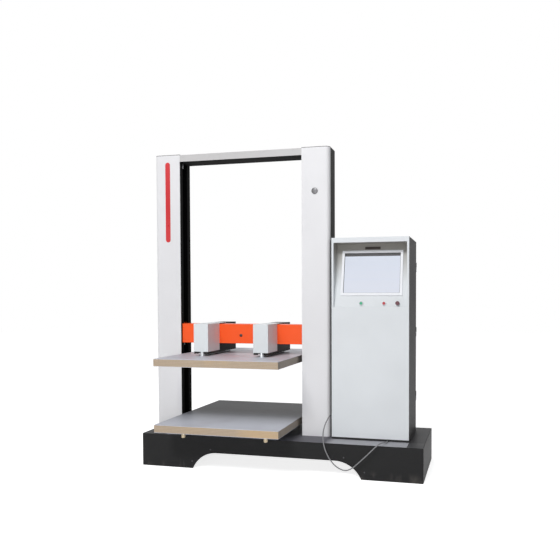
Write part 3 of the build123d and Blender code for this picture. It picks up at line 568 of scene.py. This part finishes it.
def place_piece(name, shell, finish, body, place, axis):
    """A mesh made round Z, turned to its own axis and set at its place on a body."""
    turn = Vector(axis).to_track_quat("Z", "Y").to_matrix().to_4x4()
    shell.transform(Matrix.Translation(place) @ turn)
    bmesh.ops.recalc_face_normals(shell, faces=shell.faces)
    mesh = bpy.data.meshes.new(name)
    shell.to_mesh(mesh)
    shell.free()
    mesh.materials.append(finish.material)
    mesh.shade_smooth()
    mesh.set_sharp_from_angle(angle=radians(32))
    piece = bpy.data.objects.new(name, mesh)
    bpy.context.scene.collection.objects.link(piece)
    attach(piece, body)
    return piece


def lathe(profile, steps=40):
    """A closed turned shell, from its outline as pairs of radius and height."""
    shell = bmesh.new()
    rings = []
    for radius, height in profile:
        if radius:
            turns = [2 * pi * step / steps for step in range(steps)]
            places = [(radius * cos(turn), radius * sin(turn), height) for turn in turns]
            rings.append([shell.verts.new(place) for place in places])
        else:
            rings.append([shell.verts.new((0.0, 0.0, height))])
    for lower, upper in zip(rings, rings[1:]):
        for step in range(steps):
            after = (step + 1) % steps
            if len(lower) == 1:
                shell.faces.new((lower[0], upper[step], upper[after]))
            elif len(upper) == 1:
                shell.faces.new((lower[step], lower[after], upper[0]))
            else:
                shell.faces.new((lower[step], lower[after], upper[after], upper[step]))
    return shell


def screw_profile(radius):
    """A button head with a socket, standing on the face that it holds."""
    rise = radius * 0.5
    socket_radius = radius * 0.42
    turns = [pi / 2 * k / 6 for k in range(5)]
    dome = [(radius * cos(turn), rise * sin(turn)) for turn in turns]
    socket = [(socket_radius, rise * 0.97), (socket_radius, rise * 0.35), (0.0, rise * 0.3)]
    return [(0.0, 0.0)] + dome + socket


def thread(radius, depth, pitch, length, steps=36):
    """The ridge of a right-hand thread round Z, standing out from its rod."""
    shell = bmesh.new()
    rows = round(4 * length / pitch)
    rings = []
    for row in range(rows + 1):
        height = length * row / rows
        ring = []
        for step in range(steps):
            turn = step / steps
            phase = (height / pitch - turn) % 1.0
            reach = radius + depth * abs(2 * phase - 1)
            angle = 2 * pi * turn
            ring.append(shell.verts.new((reach * cos(angle), reach * sin(angle), height)))
        rings.append(ring)
    for lower, upper in zip(rings, rings[1:]):
        for step in range(steps):
            after = (step + 1) % steps
            shell.faces.new((lower[step], lower[after], upper[after], upper[step]))
    shell.faces.new(rings[0])
    shell.faces.new(rings[-1])
    return shell


def make_stud_threads():
    """The threads of the four studs that hang under the lower platen."""
    low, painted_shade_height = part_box("lower_platen_studs")
    foot = low.z + stud_chamfer
    length = painted_shade_height.z - stud_nut_space - foot
    for side, side_name in ((-1, "left"), (1, "right")):
        for row, row_name in ((-1, "front"), (1, "rear")):
            shell = thread(thread_root_radius, thread_depth, thread_pitch, length)
            place = (machine_x + side * stud_spread_x, row * stud_spread_y, foot)
            name = "stud_thread_" + side_name + "_" + row_name
            place_piece(name, shell, zinc, "frame", place, (0, 0, 1))


def make_base_screws():
    """The small screws on the front of both feet."""
    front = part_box("base_shell")[0].y
    for side, side_name in ((-1, "left"), (1, "right")):
        for number, (x, z) in enumerate(foot_screw_places):
            name = "foot_screw_" + side_name + "_" + str(number + 1)
            shell = lathe(screw_profile(foot_screw_radius))
            place_piece(name, shell, dark_steel, "frame", (side * x, front, z), (0, -1, 0))


def make_beam_bolt():
    """The bolt at the middle of the crosshead beam."""
    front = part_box("crosshead_beam")[0].y
    body = body_of(nodes["crosshead_beam"])[0]
    shell = lathe(screw_profile(beam_bolt_radius))
    place_piece("beam_bolt", shell, dark_steel, body, (machine_x, front, beam_bolt_z), (0, -1, 0))


def make_emblem():
    """The round emblem: a domed face inside a low rim."""
    low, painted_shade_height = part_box("column_badge")
    radius = (painted_shade_height.x - low.x) / 2
    depth = painted_shade_height.y - low.y
    face_radius = radius * 0.86
    face_foot = depth * 0.45
    face_rise = depth * 0.5
    rim = [(0.0, 0.0), (radius, 0.0), (radius, depth * 0.8), (radius * 0.93, depth),
           (face_radius, depth * 0.7)]
    turns = [pi / 2 * k / 8 for k in range(8)]
    dome = [(face_radius * cos(turn), face_foot + face_rise * sin(turn)) for turn in turns]
    shell = lathe(rim + dome + [(0.0, face_foot + face_rise)], 64)
    place = ((low.x + painted_shade_height.x) / 2, painted_shade_height.y, (low.z + painted_shade_height.z) / 2)
    piece = place_piece("emblem_dome", shell, emblem, "frame", place, (0, -1, 0))
    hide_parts("column_badge")


make_camera()
make_lights()
make_world()
make_floor()
make_cord()
make_base_screws()
make_beam_bolt()
make_emblem()
make_stud_threads()

bpy.context.scene.view_settings.view_transform = "Standard"
